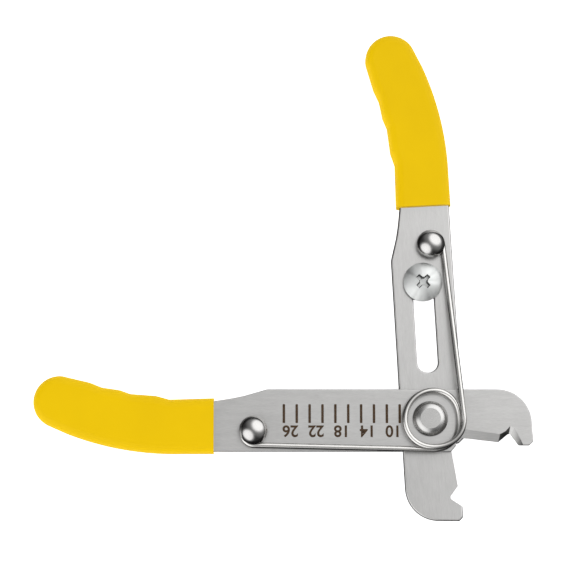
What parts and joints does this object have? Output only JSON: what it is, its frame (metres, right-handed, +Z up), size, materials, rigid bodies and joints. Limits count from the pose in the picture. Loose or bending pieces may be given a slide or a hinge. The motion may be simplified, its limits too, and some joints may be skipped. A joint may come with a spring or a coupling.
{
  "type": "wire stripper",
  "caption": "Adjustable wire stripper: two crossed notched blades on a pivot rivet, sprung open, with a sliding screw stop and vinyl grips.",
  "frame": {"origin": "on the pivot axis, at the flat foot of the pivot rivet, which stands on the bench", "axes": "+Z up out of the bench along the pivot axis; -X along the scale arm towards its grip; +Y roughly along the stop arm towards its grip, at rest with the tool open"},
  "size_m": [0.1294, 0.1286, 0.0097],
  "materials": {
    "arm_steel": "long-grain brushed stainless steel, tumbled edges",
    "grip_vinyl": "satin dipped vinyl, smooth",
    "rivet_steel": "turned and headed stainless steel",
    "spring_wire": "bright drawn stainless spring wire",
    "post_steel": "polished dome",
    "screw_zinc": "bright zinc plate"
  },
  "bodies": {
    "scale_side": {"scale_arm": "arm_steel", "scale_arm_grip": "grip_vinyl", "scale_arm_spring_post": "post_steel", "pivot_rivet": "rivet_steel", "return_spring": "spring_wire"},
    "stop_side": {"stop_arm": "arm_steel", "stop_arm_grip": "grip_vinyl", "stop_arm_spring_post": "post_steel"},
    "stop_carriage": {"stop_nut": "screw_zinc", "stop_washer": "screw_zinc"},
    "clamp_screw": {"stop_screw": "screw_zinc"}
  },
  "joints": [
    {"name": "arm_pivot", "type": "hinge", "parent": "scale_side", "child": "stop_side", "pos_m": [0, 0, 0.0038], "axis": [0, 0, 1], "range_deg": [0, 65], "stiffness_Nm_per_rad": 0.5, "deforming": ["return_spring"]},
    {"name": "stop_slide", "type": "slide", "parent": "stop_side", "child": "stop_carriage", "axis": [-0.0537, 0.9986, 0], "range_m": [-0.0024, 0.0008]},
    {"name": "screw_turn", "type": "hinge", "parent": "stop_carriage", "child": "clamp_screw", "pos_m": [-0.00148, 0.03587, 0.0038], "axis": [0, 0, 1], "range_deg": [0, 360]}
  ]
}
